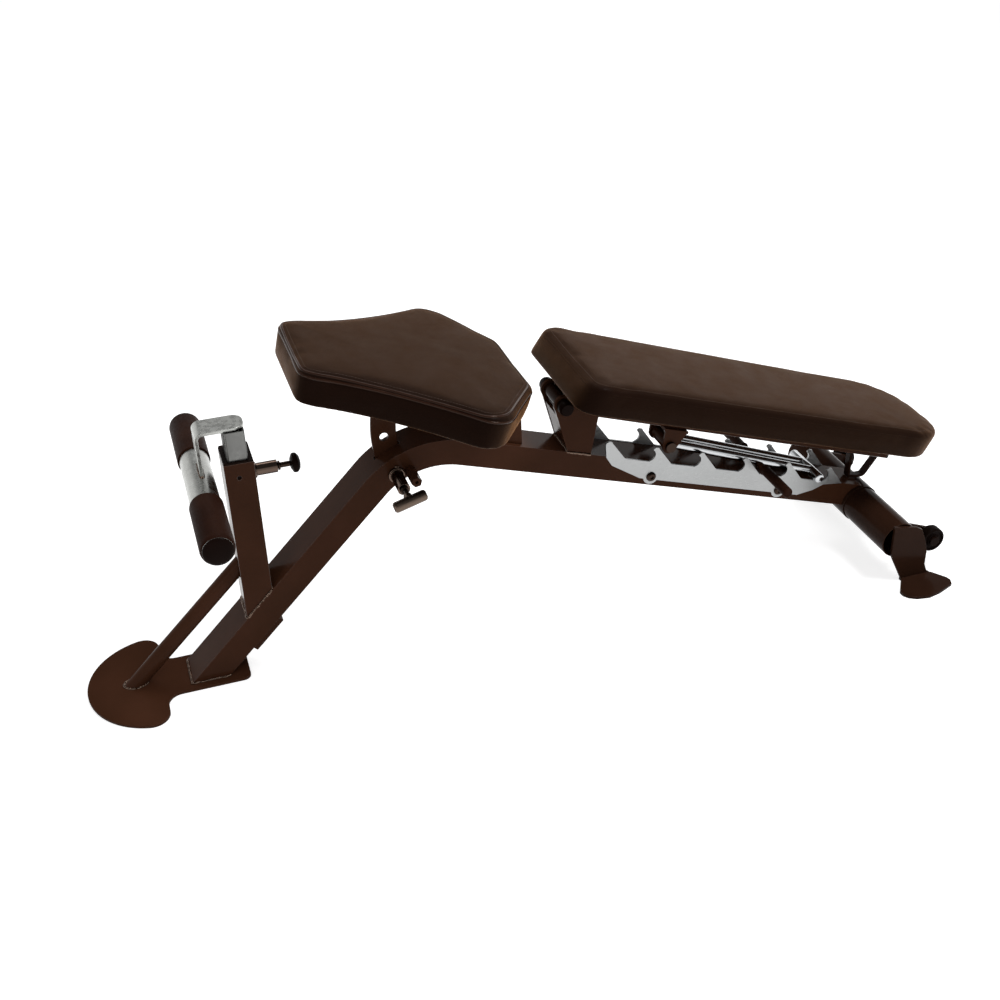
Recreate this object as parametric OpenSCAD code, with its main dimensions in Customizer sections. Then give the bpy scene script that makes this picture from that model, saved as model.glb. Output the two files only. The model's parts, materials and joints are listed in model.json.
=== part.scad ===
// Adjustable weight bench: a bent spine tube on a front foot plate and a rear cross tube,
// a hinged seat with a pin selector, a hinged back rest on a strut and notched ladder plates,
// and a leg roller on a sliding post. Millimetres, +Z up, front of the bench at -X.

/* [Frame tube] */
// Width of the main frame tube (across the bench)
tube_w = 75; // [60:1:90]
// Height of the main frame tube
tube_h = 50; // [40:1:60]
// Wall of the main frame tube
tube_wall = 3; // [2:0.5:4]
// Slope of the front leg
leg_angle = 45.4; // [40:0.1:50]
// Slope of the spine, falling to the rear
spine_angle = 18.1; // [15:0.1:21]
// Where the two centrelines meet, from the front leg's datum
knee_x = 459; // [440:1:480]
// Height where the two centrelines meet
knee_z = 421.7; // [400:0.1:440]
// Centreline radius of the bend
bend_r = 160; // [120:5:200]

/* [Front foot] */
// Front edge of the foot plate
foot_front = -172; // [-190:1:-150]
// Length of the plate's wide head
foot_head = 140; // [120:1:160]
// Half width of the plate's head
foot_half_w = 131; // [110:1:150]
// Half width of the plate's stem
foot_stem_half_w = 53; // [42:1:60]
// Rear end of the plate's stem
foot_stem_end = 123; // [100:1:140]
// Thickness of the steel plates
plate_t = 6; // [4:1:8]
// Thickness of the block under the leg
stiffener_t = 14; // [6:1:20]
// Outer diameter of the brace tube
brace_d = 30; // [20:1:32]
// Where the brace meets the foot plate
brace_x = -84; // [-100:1:-60]
// Where the brace meets the post
brace_z = 219; // [180:1:230]

/* [Hold-down post] */
// Front face of the post
post_x = 132; // [120:1:140]
// Size of the post along the bench
post_l = 52; // [46:1:60]
// Size of the post across the bench
post_w = 70; // [60:1:80]
// Top of the post
post_top = 449; // [420:1:470]
// Wall of the post
post_wall = 2.5; // [2:0.5:4]
// Size of the chrome slider along the bench
slider_l = 36; // [34:1:42]
// Size of the chrome slider across the bench
slider_w = 60; // [50:1:62]
// Top of the slider at its lowest setting
slider_top = 507; // [490:1:530]
// Lower end of the slider at its lowest setting
slider_low = 236; // [225:1:280]
// Gap between the slider and its liner, each side
slide_gap = 0.15; // [0.1:0.05:0.4]
// Height of the post's pull pin
post_pin_z = 412; // [390:1:425]
// Diameter of the pull pins
pin_d = 10; // [8:1:12]
// Outer diameter of the pull pin barrels
barrel_d = 23; // [18:1:26]

/* [Leg roller] */
// Roller axis, along the bench
roller_x = 91; // [85:1:110]
// Roller axis height
roller_z = 404; // [390:1:420]
// Half length of the roller
roller_half = 226; // [200:1:240]
// Diameter of the chrome roller tube
roller_tube_d = 52; // [42:1:54]
// Diameter of the rubber sleeves
sleeve_d = 58; // [56:1:70]
// Where each rubber sleeve starts
sleeve_in = 80; // [60:1:100]
// Width of the chrome strap
strap_w = 50; // [40:1:58]
// Strap's front face
strap_x = 92; // [85:1:96]
// Inside radius of the strap's bend
strap_r = 8; // [5:1:14]

/* [Seat] */
// Seat pad length along its slope
seat_len = 410; // [380:1:430]
// Distance of the seat pad's rear edge in front of its pivot
seat_rear_gap = 13.7; // [10:0.1:20]
// Seat pad half width at the front
seat_front_w = 111; // [95:1:125]
// Seat pad half width at its widest
seat_wing_w = 232; // [200:1:250]
// Seat pad half width at the rear edge
seat_rear_w = 101; // [85:1:120]
// Distance of the widest place from the front edge
seat_wing_s = 290; // [260:1:310]
// Seat pad thickness
seat_t = 56; // [45:1:70]
// Radius of the seat pad's widest corners
seat_wing_r = 52; // [40:1:60]
// Slope of the seat, falling to the rear
seat_angle = 14.8; // [10:0.1:20]
// Seat pivot, along the bench
seat_px = 655; // [645:1:665]
// Seat pivot height
seat_pz = 440; // [430:1:450]
// Distance of the seat's top plane over its pivot
seat_over_pivot = 90; // [85:1:100]
// Radius of the selector's pin holes about the seat pivot
selector_r = 236; // [230:1:245]
// Width of the selector plate
selector_w = 46; // [34:1:50]
// Angle of the selector pin below the seat pivot
selector_angle = 16.6; // [14:0.1:20]
// Thickness of the selector plate
selector_t = 8; // [6:1:10]

/* [Back rest] */
// Slope of the back rest lying flat, falling to the rear
back_angle = 19; // [18:0.1:20]
// Back pad length
back_len = 818; // [760:1:850]
// Back pad half width at the front
back_front_w = 140; // [120:1:160]
// Back pad half width at the rear
back_rear_w = 125; // [110:1:150]
// Radius of the back pad's rear corners
back_rear_r = 94; // [60:1:110]
// Back pad thickness
back_t = 53; // [45:1:65]
// Distance of the back pivot behind the seat pivot
pivot_gap = 92; // [85:1:105]
// Back pivot height
back_pz = 451; // [445:1:460]
// Distance of the back pad's top plane over the pivot
back_over_pivot = 83; // [80:1:95]
// Front edge of the back pad behind the pivot, along the slope
back_pad_s = -8; // [-12:1:10]
// Diameter of the back pivot tube
pivot_tube_d = 25; // [22:1:30]
// Running clearance on radius in every hinge
run_gap = 0.08; // [0.05:0.01:0.1]
// Width of the back support tube
support_w = 50; // [40:1:56]
// Height of the back support tube
support_h = 38; // [30:1:40]

/* [Strut and ladder] */
// Distance of the strut pivot behind the back pivot, along the back rest
strut_s = 251; // [240:1:260]
// Distance of the strut pivot under the back pivot's level
strut_drop = 54; // [50:0.5:58]
// Diameter of the two strut rods
rod_d = 18; // [12:1:18]
// Distance between the strut rods
rod_pitch = 36; // [34:1:44]
// Diameter of the strut's cross bar
crossbar_d = 20; // [16:1:22]
// Half length of the cross bar
crossbar_half = 55; // [48:1:65]
// Diameter of the handle bar
handle_d = 14; // [12:1:16]
// Half length of the handle bar over its grips
handle_half = 142; // [120:1:150]
// Distance of the handle bar from the strut pivot
handle_s = 222; // [210:1:235]
// Number of notches in each ladder plate
notches = 5; // [4:1:5]
// Distance between notches
notch_pitch = 102; // [98:0.5:104]
// Hook wall of the first notch, from the knee along the spine
notch_first = 481; // [475:1:490]
// Height of the notch floor over the spine
notch_floor = 1.2; // [0.5:0.1:3]
// Height of the teeth over the spine
tooth_h = 32; // [26:1:36]
// Length of each tooth's sloping flank
flank_l = 41; // [36:1:44]
// Distance of the resting cross bar in front of its hook
rest_back = 22; // [20:1:30]
// Gap between a resting piece and what it rests on
rest_gap = 0.3; // [0.1:0.05:0.5]
// Thickness of the ladder plates
ladder_t = 4; // [3:0.5:6]

/* [Rear foot] */
// Rear cross tube axis, along the bench
cross_x = 1405; // [1400:1:1415]
// Rear cross tube axis height
cross_z = 98; // [95:1:105]
// Diameter of the rear cross tube
cross_d = 76; // [70:1:80]
// Half length of the rear cross tube
cross_half = 191; // [180:1:200]
// Half width over the rear foot plates
rear_half_w = 268; // [250:1:280]
// Transport wheel axis, along the bench
wheel_x = 1495; // [1490:1:1500]
// Transport wheel axis height
wheel_z = 70; // [66:1:75]
// Transport wheel diameter
wheel_d = 52; // [48:1:58]
// Transport wheel width
wheel_w = 22; // [18:1:24]
// Transport wheel's centre from the bench's centre plane
wheel_y = 170; // [168:1:172]
// Diameter of the wheel axles
axle_d = 12; // [10:1:12]

/* [Part to show] */
// Node to draw, or all

/* [Hidden] */
$fn = 40;
cl = 0.02;
wash_gap = 0.3;
board_t = 11;
board_in = 38;
ps = [cos(spine_angle), -sin(spine_angle)];
pn = [sin(spine_angle), cos(spine_angle)];
bs = [cos(back_angle), -sin(back_angle)];
bn = [sin(back_angle), cos(back_angle)];
knee = [knee_x, knee_z];
back_px = seat_px + pivot_gap;
strut_px = back_px + strut_s * bs[0] - strut_drop * bn[0];
strut_pz = back_pz + strut_s * bs[1] - strut_drop * bn[1];
turn = leg_angle + spine_angle;
tangent = bend_r * tan(turn / 2);
bend_n = 24;
leg_len = knee_z / sin(leg_angle) - tangent + 40;
cross_s = (cross_x - knee_x) / cos(spine_angle);
half_w = tube_w / 2;
half_h = tube_h / 2;
selector = [seat_px, seat_pz] - selector_r * [cos(selector_angle), sin(selector_angle)];
brace_angle = atan2(brace_z - plate_t, post_x - brace_x);
collar_d = cross_d + 4;
foot_lobe_r = 32;
foot_neck_r = 26;
stiffener_s = 490;
stiffener_l = 78;
stiffener_w = 60;
ladder_bolt_s = [493, 791];
ladder_bolt_d = 10;
bolt_drop = 30;
crossbar_s = notch_first + (notches - 1) * notch_pitch - rest_back;
crossbar_t = half_h + notch_floor + rest_gap + crossbar_d / 2;
crossbar = knee + crossbar_s * ps + crossbar_t * pn;
strut_v = crossbar - [strut_px, strut_pz];
strut_len = norm(strut_v);
strut_angle = atan2(strut_v[1], strut_v[0]);
seat_arm_w = 40;
seat_arm_h = 31;
seat_arm_z = seat_over_pivot - seat_t - board_t - seat_arm_h;
seat_x0 = -seat_rear_gap - seat_len;
seat_rise = ([seat_px, seat_pz] - knee) * pn - half_h;
seat_barrel = 56;
seat_handle_y = 134;
seat_guard_d = 20;
back_rise = ([back_px, back_pz] - knee) * pn - half_h;
post_cx = post_x + post_l / 2;
post_barrel = 42;
liner_l = post_l - 2 * post_wall - 2 * cl;
liner_w = post_w - 2 * post_wall - 2 * cl;
liner_h = 64;
support_l = 768;
pivot_half = 60;
pivot_cap_r = 13.6;
upright_y = half_w - plate_t;
rest_z = cross_z + collar_d / 2 + rest_gap;
lug_half = rod_pitch / 2 + rod_d / 2 + 2;
strut_l = [strut_s, -strut_drop];
handle_drop = 6;
ladder_y = half_w;
grip_l = handle_half - ladder_y - ladder_t - 4;
back_rear_x = back_px + (back_pad_s + back_len) * bs[0] + back_over_pivot * bn[0];
mid_x = (foot_front + back_rear_x) / 2;
pad_low = back_over_pivot - back_t;
lug_y = support_w / 2;

// Colours
black_paint = [0.10, 0.08, 0.07];
chrome = [0.78, 0.79, 0.80];
rubber = [0.09, 0.07, 0.06];
vinyl = [0.20, 0.14, 0.11];
board = [0.45, 0.35, 0.25];

// Helpers
module row() translate([-mid_x, 0, 0]) children();
module both() { children(); mirror([0, 1, 0]) children(); }
module both2() { children(); mirror([0, 1]) children(); }
module at(p, a = 0) translate([p[0], 0, p[1]]) rotate([0, -a, 0]) children();
module spine() at(knee, -spine_angle) children();
module ycyl(x, z, y0, y1, d) translate([x, y0, z]) rotate([-90, 0, 0]) cylinder(d = d, h = y1 - y0);
module yplate(y0, y1) translate([0, y1, 0]) rotate([90, 0, 0]) linear_extrude(y1 - y0) children();
module rr(l, w, r) {
  square([l - 2 * r, w], center = true);
  square([l, w - 2 * r], center = true);
  for (x = [-1, 1])
    for (y = [-1, 1])
      translate([x * (l / 2 - r), y * (w / 2 - r)]) circle(r);
}

// Main frame
// Side outline of the bent tube: front leg, bend, spine
function bend_pt(r, i) = [tangent, -bend_r] + r * [cos(90 + turn * i / bend_n), sin(90 + turn * i / bend_n)];
module tube_outline(h, more = 0) translate(knee) rotate(-spine_angle) polygon(concat(
  [[cross_s + more, h / 2]],
  [for (i = [0:bend_n]) bend_pt(bend_r + h / 2, i)],
  [bend_pt(bend_r + h / 2, bend_n) - leg_len * [cos(turn), sin(turn)]],
  [bend_pt(bend_r - h / 2, bend_n) - leg_len * [cos(turn), sin(turn)]],
  [for (i = [bend_n:-1:0]) bend_pt(bend_r - h / 2, i)],
  [[cross_s + more, -h / 2]]));

// Ring sector about the origin, from angle a0 to a1
module sector(r0, r1, a0, a1, n = 8) intersection() {
  difference() {
    circle(r1, $fn = 120);
    circle(r0, $fn = 120);
  }
  polygon(concat([[0, 0]], [for (i = [0:n]) let(a = a0 + (a1 - a0) * i / n) 1.2 * r1 * [cos(a), sin(a)]]));
}

module main_frame_tube() color(black_paint) row() difference() {
  yplate(-half_w, half_w) tube_outline(tube_h);
  yplate(tube_wall - half_w, half_w - tube_wall) tube_outline(tube_h - 2 * tube_wall, 10);
  translate([-400, -100, -300]) cube([900, 200, 300 + plate_t]);
  ycyl(cross_x, cross_z, -60, 60, collar_d + 2 * cl);
  ycyl(selector[0], selector[1], -60, 0, pin_d + 1);
  yplate(-selector_t / 2 - 1, selector_t / 2 + 1) translate([seat_px, seat_pz])
    sector(selector_r - selector_w / 2 - 3, selector_r + selector_w / 2 + 3, 183, 222);
  spine() for (s = ladder_bolt_s) ycyl(s, half_h - bolt_drop, -60, 60, ladder_bolt_d + 0.4);
}

module leg_stiffener_plate() color(black_paint) row() at(knee, leg_angle)
  translate([-stiffener_s, -stiffener_w / 2, -half_h - stiffener_t]) cube([stiffener_l, stiffener_w, stiffener_t]);

module foot_brace_tube() color(black_paint) row() intersection() {
  at([brace_x, plate_t], brace_angle) translate([-40, 0, 0]) rotate([0, 90, 0]) difference() {
    cylinder(d = brace_d, h = 400);
    translate([0, 0, -1]) cylinder(d = brace_d - 5, h = 402);
  }
  translate([foot_front, -50, plate_t]) cube([post_x - foot_front, 100, 400]);
}

// Arc points about c, from angle a0 to a1
function arc(c, r, a0, a1, n) = [for (i = [0:n]) let(a = a0 + (a1 - a0) * i / n) c + r * [cos(a), sin(a)]];

// Half of the foot plate: front arc, lobe, neck and stem
foot_lobe_dx = foot_head - foot_half_w - foot_lobe_r;
foot_lobe_y = sqrt(pow(foot_half_w - foot_lobe_r, 2) - pow(foot_lobe_dx, 2));
foot_lobe_a = atan2(foot_lobe_y, foot_lobe_dx);
foot_head_x = foot_front + foot_head;
foot_half = concat(
  arc([foot_front + foot_half_w, 0], foot_half_w, 180, foot_lobe_a, 24),
  arc([foot_head_x - foot_lobe_r, foot_lobe_y], foot_lobe_r, foot_lobe_a - 8, 0, 12),
  arc([foot_head_x + foot_neck_r, foot_stem_half_w + foot_neck_r], foot_neck_r, 180, 270, 8),
  arc([foot_stem_end - 14, foot_stem_half_w - 14], 14, 90, 0, 6));

module front_foot_plate() color(black_paint) row() linear_extrude(plate_t)
  polygon(concat(foot_half, [for (i = [len(foot_half) - 1:-1:1]) [foot_half[i][0], -foot_half[i][1]]]));

// Hold-down post
module post_hole(d) translate([post_x + post_l / 2, 0, post_pin_z]) rotate([0, 90, 0]) cylinder(d = d, h = 60);

module hold_down_post() color(black_paint) row() difference() {
  translate([post_x, -post_w / 2, 0]) cube([post_l, post_w, post_top]);
  translate([post_x + post_wall, -post_w / 2 + post_wall, -1])
    cube([post_l - 2 * post_wall, post_w - 2 * post_wall, post_top + 2]);
  at(knee, leg_angle) translate([-700, -60, -700 + half_h]) cube([900, 120, 700]);
  post_hole(pin_d + 1);
  ycyl(post_x + post_l / 2 - 2, post_top - 28, -post_w, 0, 8);
}

module post_guide_liner() color(rubber) row() difference() {
  union() {
    translate([post_cx, 0, post_top]) linear_extrude(3) rr(post_l - 1, post_w - 1, 4);
    translate([post_cx - liner_l / 2, -liner_w / 2, post_top - liner_h]) cube([liner_l, liner_w, liner_h]);
  }
  translate([post_cx - slider_l / 2 - slide_gap, -slider_w / 2 - slide_gap, 0])
    cube([slider_l + 2 * slide_gap, slider_w + 2 * slide_gap, post_top + 10]);
  post_hole(pin_d + 1);
}

module post_pin_barrel() color(black_paint) row() translate([post_x + post_l, 0, post_pin_z])
  rotate([0, 90, 0]) difference() {
    union() {
      cylinder(d = barrel_d, h = post_barrel);
      cylinder(d = barrel_d + 6, h = 5);
    }
    translate([0, 0, -1]) cylinder(d = pin_d + 2 * run_gap, h = post_barrel + 2);
  }

module post_pin() color(chrome) row() difference() {
  translate([post_cx + slider_l / 2 + wash_gap, 0, post_pin_z]) rotate([0, 90, 0]) {
    cylinder(d = pin_d, h = post_x + post_l + post_barrel + 23 - post_cx - slider_l / 2 - wash_gap);
    translate([0, 0, post_x + post_l + post_barrel + 1 - post_cx - slider_l / 2 - wash_gap]) cylinder(d = 17, h = 4);
  }
}

module post_pin_knob() color(rubber) row() translate([post_x + post_l + post_barrel + 23, 0, post_pin_z])
  rotate([0, 90, 0]) rotate_extrude() polygon([[0, 0], [9, 0], [17, 4], [18, 8], [17, 12], [12, 16], [5, 17.5], [0, 17.5]]);

module hold_down_slider() color(chrome) row() difference() {
  translate([post_cx, 0, slider_low]) linear_extrude(slider_top - slider_low) rr(slider_l, slider_w, 4);
  translate([post_cx, 0, slider_low - 1]) linear_extrude(slider_top - slider_low + 2)
    rr(slider_l - 5, slider_w - 5, 2);
  for (i = [0:4]) translate([post_cx, 0, post_pin_z - 25 * i]) rotate([0, 90, 0]) cylinder(d = pin_d + 1, h = 40);
}

// Leg roller
module roller_arm_strap() color(chrome) row() difference() {
  union() {
    translate([strap_x + plate_t + strap_r, -strap_w / 2, slider_top])
      cube([post_cx - strap_x - plate_t - strap_r, strap_w, plate_t]);
    translate([post_cx - 1, 0, slider_top]) linear_extrude(plate_t) rr(42, strap_w, 20);
    translate([strap_x, -strap_w / 2, roller_z]) cube([plate_t, strap_w, slider_top - strap_r - roller_z]);
    translate([strap_x + plate_t + strap_r, 0, slider_top - strap_r]) rotate([90, 0, 0])
      rotate([0, 0, 90]) rotate_extrude(angle = 90, $fn = 64) translate([strap_r, -strap_w / 2])
        square([plate_t, strap_w]);
  }
  ycyl(roller_x, roller_z, -60, 60, roller_tube_d + 2 * cl);
}

module roller_tube() color(chrome) row() difference() {
  ycyl(roller_x, roller_z, -roller_half + 6, roller_half - 6, roller_tube_d);
  ycyl(roller_x, roller_z, -roller_half, roller_half, roller_tube_d - 4);
}

module roller_sleeves() color(rubber) row() both() translate([roller_x, sleeve_in, roller_z])
  rotate([-90, 0, 0]) rotate_extrude($fn = 56) polygon([
    [roller_tube_d / 2 + cl, 0], [sleeve_d / 2 - 2, 0], [sleeve_d / 2, 2],
    [sleeve_d / 2, roller_half - sleeve_in - 14], [sleeve_d / 2 - 1, roller_half - sleeve_in - 9],
    [roller_tube_d / 2 + cl, roller_half - sleeve_in - 6]]);

module roller_end_caps() color(rubber) row() both() translate([roller_x, roller_half - 6, roller_z])
  rotate([-90, 0, 0]) rotate_extrude($fn = 48) polygon([[0, 0], [roller_tube_d / 2, 0],
    [roller_tube_d / 2 - 1, 3], [roller_tube_d / 2 - 6, 6], [0, 6]]);

// Seat, in its own frame: origin on the pivot, x to the rear, z off the pad
module seat_at() row() at([seat_px, seat_pz], -seat_angle) children();
function seat_half(t) = seat_front_w + (seat_wing_w - 6 - seat_front_w) * pow(t, 1.6);

module seat_outline() {
  n = 10;
  side = concat(
    [[0, seat_front_w - 22], [5, seat_front_w - 9], [17, seat_front_w - 2]],
    [for (i = [1:n]) [seat_wing_s * 0.95 * i / n, seat_half(i / n)]],
    arc([seat_wing_s + 4, seat_wing_w - seat_wing_r], seat_wing_r, 102, 38, 6),
    [[seat_len - 12, seat_rear_w + 14], [seat_len - 3, seat_rear_w + 2], [seat_len, seat_rear_w - 10]]);
  polygon(concat(side, [for (i = [len(side) - 1:-1:0]) [side[i][0], -side[i][1]]]));
}

module seat_pad() color(vinyl) seat_at() translate([seat_x0, 0, seat_over_pivot - seat_t])
  linear_extrude(seat_t) seat_outline();

module seat_board() color(board) seat_at() translate([seat_x0 + 20, 0, seat_over_pivot - seat_t - board_t])
  linear_extrude(board_t) difference() {
    both2() polygon([[10, 0], [10, seat_front_w - board_in], [seat_wing_s - 130, seat_front_w - board_in / 2],
      [seat_wing_s - 35, seat_wing_w - 2 * board_in], [seat_wing_s + 10, seat_wing_w - 2 * board_in],
      [seat_len - board_in - 15, seat_rear_w - board_in / 2], [seat_len - board_in - 15, 0]]);
    for (x = [40, 300]) for (y = [-30, 30]) translate([x, y]) circle(d = 6);
  }

module seat_arm_tube() color(black_paint) seat_at() difference() {
  translate([seat_x0 + 95, -seat_arm_w / 2, seat_arm_z]) cube([-seat_x0 - 95 + 18, seat_arm_w, seat_arm_h]);
  translate([seat_x0 + 90, -seat_arm_w / 2 + 2.5, seat_arm_z + 2.5])
    cube([-seat_x0 + 40, seat_arm_w - 5, seat_arm_h - 5]);
  ycyl(0, 0, -30, 30, axle_d + 2 * run_gap);
}

module seat_selector_plate() color(black_paint) seat_at() difference() {
  yplate(-selector_t / 2, selector_t / 2) difference() {
    sector(selector_r - selector_w / 2, selector_r + selector_w / 2, 176, 202 + seat_angle);
    translate([-400, seat_arm_z]) square([500, 100]);
  }
  for (a = [0, 1])
    ycyl(-selector_r * cos(selector_angle + seat_angle * (1 - a)), -selector_r * sin(selector_angle + seat_angle * (1 - a)),
      -10, 10, pin_d + 6);
}

module seat_pivot_lugs() color(black_paint) row() both() difference() {
  yplate(seat_arm_w / 2 + wash_gap + 0.2, seat_arm_w / 2 + wash_gap + 0.2 + plate_t) {
    translate([seat_px, seat_pz]) circle(17);
    translate([seat_px, seat_pz]) rotate(-spine_angle)
      polygon([[-15, -3], [-16, -seat_rise], [34, -seat_rise], [14, 6], [0, 8]]);
  }
  ycyl(seat_px, seat_pz, 0, 60, axle_d + cl * 2);
}

module seat_pivot_bolt() color(chrome) row() {
  w = seat_arm_w / 2 + wash_gap + 0.2 + plate_t;
  ycyl(seat_px, seat_pz, -w, w + 11, axle_d);
  ycyl(seat_px, seat_pz, -w - 7, -w, 21);
  translate([seat_px, w, seat_pz]) rotate([-90, 0, 0]) cylinder(d = 21, h = 9, $fn = 6);
}

module seat_pin_barrel() color(black_paint) row() difference() {
  union() {
    ycyl(selector[0], selector[1], -half_w - seat_barrel, -half_w, barrel_d);
    ycyl(selector[0], selector[1], -half_w - 6, -half_w, barrel_d + 7);
  }
  ycyl(selector[0], selector[1], -half_w - 60, 0, pin_d + 2 * run_gap);
}

module seat_pin_guard() color(black_paint) row()
  translate([selector[0] + barrel_d / 2 + 4.5 + seat_guard_d / 2, -half_w, selector[1] + 3])
  rotate([90, 0, 0]) rotate([0, 0, 12]) difference() {
    cylinder(d = seat_guard_d, h = seat_barrel - 10, $fn = 6);
    translate([0, 0, -1]) cylinder(d = 6.5, h = 60);
  }

module seat_pin() color(chrome) row() {
  ycyl(selector[0], selector[1], -seat_handle_y, -selector_t / 2 - wash_gap, pin_d);
  ycyl(selector[0], selector[1], -half_w - seat_barrel - 6, -half_w - seat_barrel - 1, 16);
}

module seat_pin_handle() color(rubber) row() difference() {
  translate([selector[0], -seat_handle_y, selector[1]]) rotate([0, -16, 0]) union() {
    translate([-31, 0, 0]) rotate([0, 90, 0]) rotate_extrude()
      polygon([[0, 0], [6, 0], [9, 2], [10, 5], [10, 57], [9, 60], [6, 62], [0, 62]]);
    rotate([-90, 0, 0]) cylinder(d = 15, h = 18);
  }
  ycyl(selector[0], selector[1], -seat_handle_y, 0, pin_d + 2 * cl);
}

// Back rest, in its own frame: origin on the pivot, x to the rear, z off the pad
module back_at() row() at([back_px, back_pz], -back_angle) children();

module back_outline() {
  r = 34;
  both2() {
    translate([r, back_front_w - r]) circle(r);
    polygon([[r, 0], [back_len - back_rear_r, 0], [back_len - back_rear_r, back_rear_w], [r, back_front_w]]);
    square([r, back_front_w - r]);
    translate([back_len - back_rear_r, back_rear_w - back_rear_r]) circle(back_rear_r, $fn = 80);
    translate([back_len - back_rear_r, 0]) square([back_rear_r, back_rear_w - back_rear_r]);
  }
}

module back_pad() color(vinyl) back_at() translate([back_pad_s, 0, pad_low])
  linear_extrude(back_t) back_outline();

module back_board() color(board) back_at() translate([back_pad_s, 0, pad_low - board_t])
  linear_extrude(board_t) difference() {
    both2() polygon([[board_in, 0], [board_in, back_front_w - board_in - 20], [board_in + 20, back_front_w - board_in],
      [back_len - 120, back_rear_w - board_in], [back_len - 44, back_rear_w - 90], [back_len - 44, 0]]);
    translate([0, -60]) square([80, 120]);
    for (x = [140, 440, 700]) for (y = [-18, 18]) translate([x, y]) circle(d = 6);
  }

module back_support_tube() color(black_paint) back_at() difference() {
  translate([0, -support_w / 2, -support_h / 2]) cube([support_l, support_w, support_h]);
  translate([-1, -support_w / 2 + 2.5, -support_h / 2 + 2.5]) cube([support_l + 60, support_w - 5, support_h - 5]);
  ycyl(0, 0, -40, 40, pivot_tube_d + 2 * cl);
}

module back_tube_end_cap() color(rubber) back_at() {
  translate([support_l, -support_w / 2, -support_h / 2]) cube([3, support_w, support_h]);
  translate([support_l - 14, -support_w / 2 + 2.6, -support_h / 2 + 2.6]) cube([14, support_w - 5.2, support_h - 5.2]);
}

module back_pivot_tube() color(chrome) back_at() difference() {
  ycyl(0, 0, -pivot_half + 4, pivot_half - 4, pivot_tube_d);
  ycyl(0, 0, -70, 70, pivot_tube_d - 6);
}

module back_pivot_caps() color(rubber) back_at() both() difference() {
  translate([0, upright_y + plate_t + 0.4, 0]) rotate([-90, 0, 0]) rotate_extrude()
    polygon([[0, 0], [pivot_cap_r - 0.4, 0], [pivot_cap_r, 1], [pivot_cap_r, 17],
      [pivot_cap_r - 2.5, pivot_half - upright_y - plate_t - 0.4], [0, pivot_half - upright_y - plate_t - 0.4]]);
  ycyl(0, 0, 0, pivot_half - 4, pivot_tube_d + 2 * cl);
}

// Channel that carries the back pivot: two side plates and a front web
module back_uprights() color(black_paint) row() at([back_px, back_pz], -spine_angle) {
  both() difference() {
    yplate(upright_y, upright_y + plate_t) {
      circle(18);
      polygon([[-12, -13], [40, -back_rise], [88, -back_rise], [76, -4], [60, 10], [6, 17]]);
    }
    ycyl(0, 0, 0, 60, pivot_tube_d + 2 * run_gap);
  }
  yplate(-upright_y - 1, upright_y + 1)
    polygon([[-3, -25], [40.8, -back_rise], [47, -back_rise], [1.2, -22.4]]);
}

// Strap bent into a V under the back frame; it rests on the cross tube's collar
module back_rest_bracket() color(black_paint) row() difference() {
  yplate(-8, 8) translate([cross_x, rest_z]) polygon([[-14, 6], [8, 0], [22, 0], [28, 3], [56, 44], [56, 100],
    [50, 100], [50, 46], [22, 6], [9, 6], [-8, 11], [-8, 100], [-14, 100]]);
  at([back_px, back_pz], -back_angle) translate([0, -50, -support_h / 2]) cube([900, 100, 200]);
}

// Strut
module rod_line() at([strut_px, strut_pz], strut_angle) children();

module strut_lugs() color(black_paint) back_at() difference() {
  union() {
    translate([strut_l[0] - 24, -lug_half - 5, -support_h / 2 - 5]) cube([52, 2 * lug_half + 10, 5]);
    both() yplate(lug_half, lug_half + 5) {
      translate(strut_l) circle(15);
      translate(strut_l) polygon([[-15, 0], [-22, -strut_l[1] - support_h / 2 - 3], [26, -strut_l[1] - support_h / 2 - 3], [15, 0]]);
    }
  }
  ycyl(strut_l[0], strut_l[1], -60, 60, axle_d + 2 * cl);
}

module strut_pivot_bolt() color(chrome) row() {
  ycyl(strut_px, strut_pz, -lug_half - 5, lug_half + 22, axle_d);
  ycyl(strut_px, strut_pz, -lug_half - 12, -lug_half - 5, 21);
  translate([strut_px, lug_half + 5, strut_pz]) rotate([-90, 0, 0]) cylinder(d = 21, h = 10, $fn = 6);
}

module strut_pivot_sleeve() color(black_paint) row() difference() {
  ycyl(strut_px, strut_pz, -lug_half + 0.4, lug_half - 0.4, 24);
  ycyl(strut_px, strut_pz, -60, 60, axle_d + 2 * run_gap);
}

module strut_rods() color(chrome) row() difference() {
  rod_line() both() translate([0, rod_pitch / 2, 0]) rotate([0, 90, 0]) cylinder(d = rod_d, h = strut_len);
  ycyl(strut_px, strut_pz, -60, 60, 24 + 2 * cl);
  ycyl(crossbar[0], crossbar[1], -60, 60, crossbar_d + 2 * cl);
}

module strut_crossbar() color(chrome) row() translate([crossbar[0], -crossbar_half, crossbar[1]])
  rotate([-90, 0, 0]) rotate_extrude() polygon([[0, 0], [7, 0], [9.2, 1.2], [crossbar_d / 2, 3.5],
    [crossbar_d / 2, 2 * crossbar_half - 3.5], [9.2, 2 * crossbar_half - 1.2], [7, 2 * crossbar_half], [0, 2 * crossbar_half]]);

module strut_handle_bar() color(black_paint) row() rod_line() difference() {
  ycyl(handle_s, -handle_drop, -handle_half + 4, handle_half - 4, handle_d);
  both() translate([-10, rod_pitch / 2, 0]) rotate([0, 90, 0]) cylinder(d = rod_d + 2 * cl, h = 400);
}

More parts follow.
